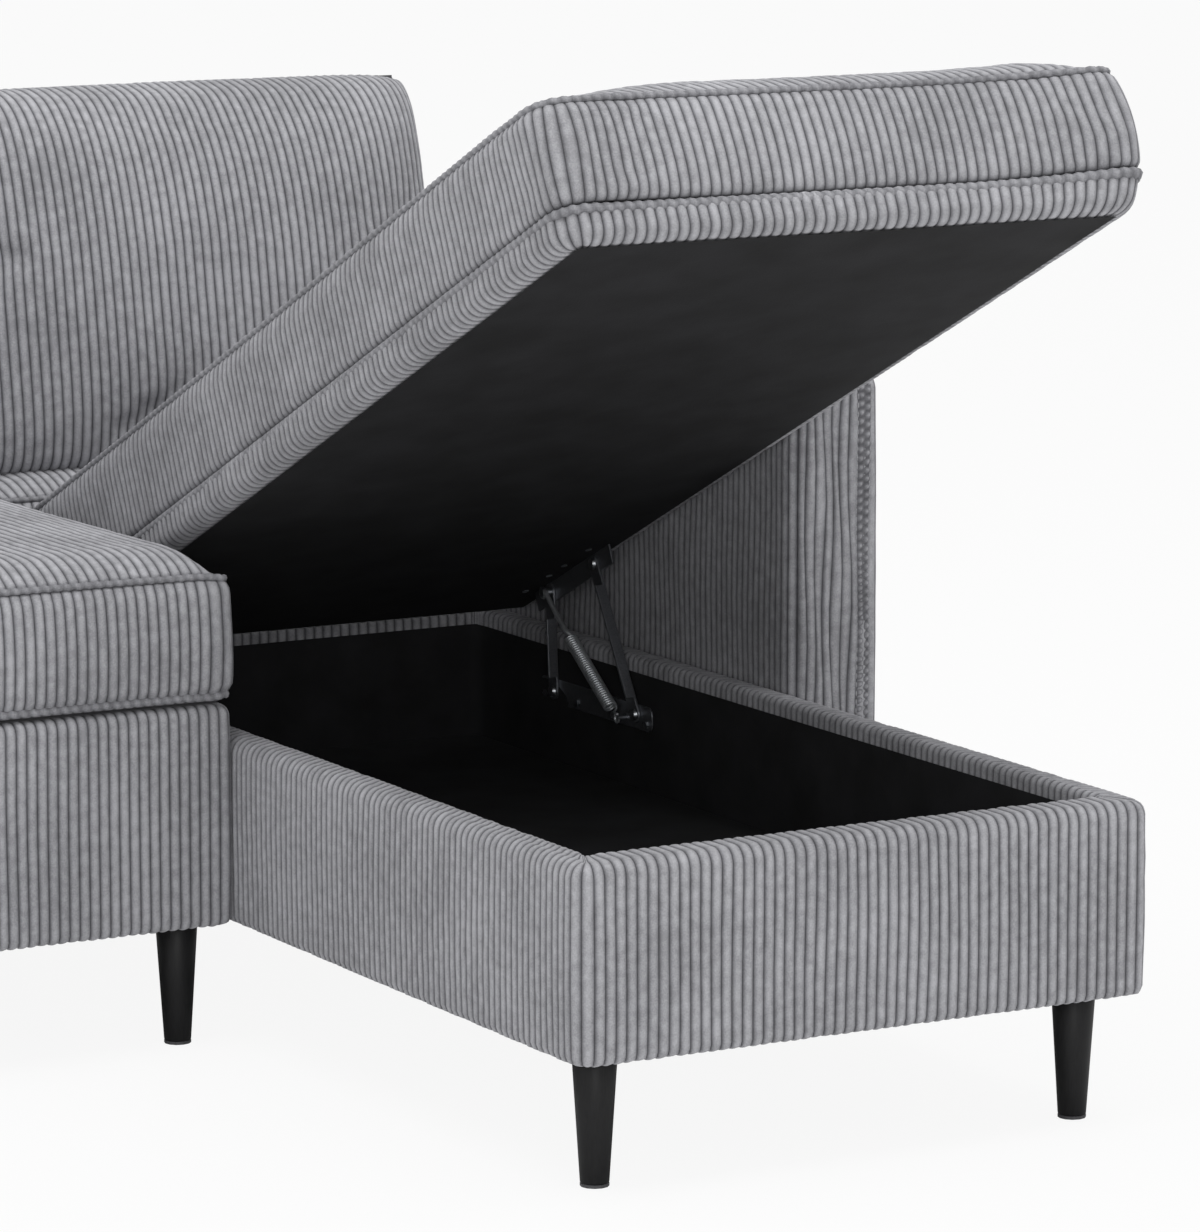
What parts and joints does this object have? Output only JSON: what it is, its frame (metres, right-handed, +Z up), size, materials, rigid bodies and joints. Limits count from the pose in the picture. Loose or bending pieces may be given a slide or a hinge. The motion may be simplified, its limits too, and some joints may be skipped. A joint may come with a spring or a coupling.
{
  "type": "sectional sofa",
  "caption": "L-shaped sofa in grey wide-wale corduroy with a storage chaise whose seat lifts on sprung links, loose cushions, padded arms and black tapered legs",
  "frame": {"origin": "on the floor under the middle of the sofa's outline", "axes": "+X right and +Y back as seen from the front, +Z up"},
  "size_m": [2.1016, 1.58, 0.9798],
  "materials": {
    "corduroy": "grey wide-wale corduroy",
    "black_cloth": "black non-woven lining",
    "webbing": "woven elastic webbing",
    "board": "sawn board",
    "leg_black": "black painted turned wood",
    "lift_steel": "black powder coat",
    "zinc": "bright zinc plate",
    "spring_steel": "zinc plated spring wire",
    "glide_plastic": "moulded glide"
  },
  "bodies": {
    "frame": {"arm_cover_left": "corduroy", "arm_cover_right": "corduroy", "arm_frame_left": "board", "arm_frame_right": "board", "back_cover": "corduroy", "back_cushion_left": "corduroy", "back_cushion_middle": "corduroy", "back_cushion_right": "corduroy", "back_frame": "board", "chaise_cover": "corduroy", "chaise_dust_cloth": "black_cloth", "chaise_front_board": "board", "chaise_left_board": "board", "chaise_leg_left": "leg_black", "chaise_leg_right": "leg_black", "chaise_rear_board": "board", "chaise_rear_deck": "board", "chaise_rear_pad": "corduroy", "chaise_rear_panel": "corduroy", "chaise_right_board": "board", "corner_blocks": "board", "leg_glides": "glide_plastic", "leg_plates": "lift_steel", "lift_base_left": "lift_steel", "lift_base_right": "lift_steel", "lift_base_rivets": "zinc", "lift_base_screws": "zinc", "lift_spring_left": "spring_steel", "lift_spring_right": "spring_steel", "main_cover": "corduroy", "main_dust_cloth": "black_cloth", "main_front_rail": "board", "main_left_rail": "board", "main_leg_left": "leg_black", "main_leg_right": "leg_black", "main_rear_rail": "board", "main_right_rail": "board", "rear_legs": "leg_black", "seat_cushion_left": "corduroy", "seat_cushion_right": "corduroy", "seat_webbing": "webbing", "storage_floor": "board", "storage_lining": "black_cloth", "unit_straps": "lift_steel"},
    "rear_links": {"rear_link_left": "lift_steel", "rear_link_right": "lift_steel", "rear_link_rivets": "zinc"},
    "front_links": {"front_link_left": "lift_steel", "front_link_right": "lift_steel", "front_link_rivets": "zinc"},
    "lid": {"lid_border": "corduroy", "lid_dust_cloth": "black_cloth", "lid_battens": "board", "lid_panel": "board", "lid_cushion": "corduroy", "lid_bracket_left": "lift_steel", "lid_bracket_right": "lift_steel", "lid_bracket_screws": "zinc"}
  },
  "joints": [
    {"name": "lid_lift", "type": "hinge", "parent": "frame", "child": "rear_links", "pos_m": [0.64525, 0.28529, 0.2457], "axis": [1, 0, 0], "range_deg": [-56.99, 0], "stiffness_Nm_per_rad": 40, "springref_deg": 148.97, "deforming": ["lift_spring_left", "lift_spring_right"]},
    {"name": "front_link_turn", "type": "hinge", "parent": "frame", "child": "front_links", "pos_m": [0.64525, 0.10871, 0.2484], "axis": [1, 0, 0], "range_deg": [-42.36, 0]},
    {"name": "lid_tilt", "type": "hinge", "parent": "rear_links", "child": "lid", "pos_m": [0.64525, 0.2929, 0.3525], "axis": [1, 0, 0], "range_deg": [0, 81.89]}
  ],
  "couplings": [
    {"joint": "front_link_turn", "follows": "lid_lift", "ratio": 0.74328},
    {"joint": "lid_tilt", "follows": "lid_lift", "ratio": -1.4369}
  ]
}
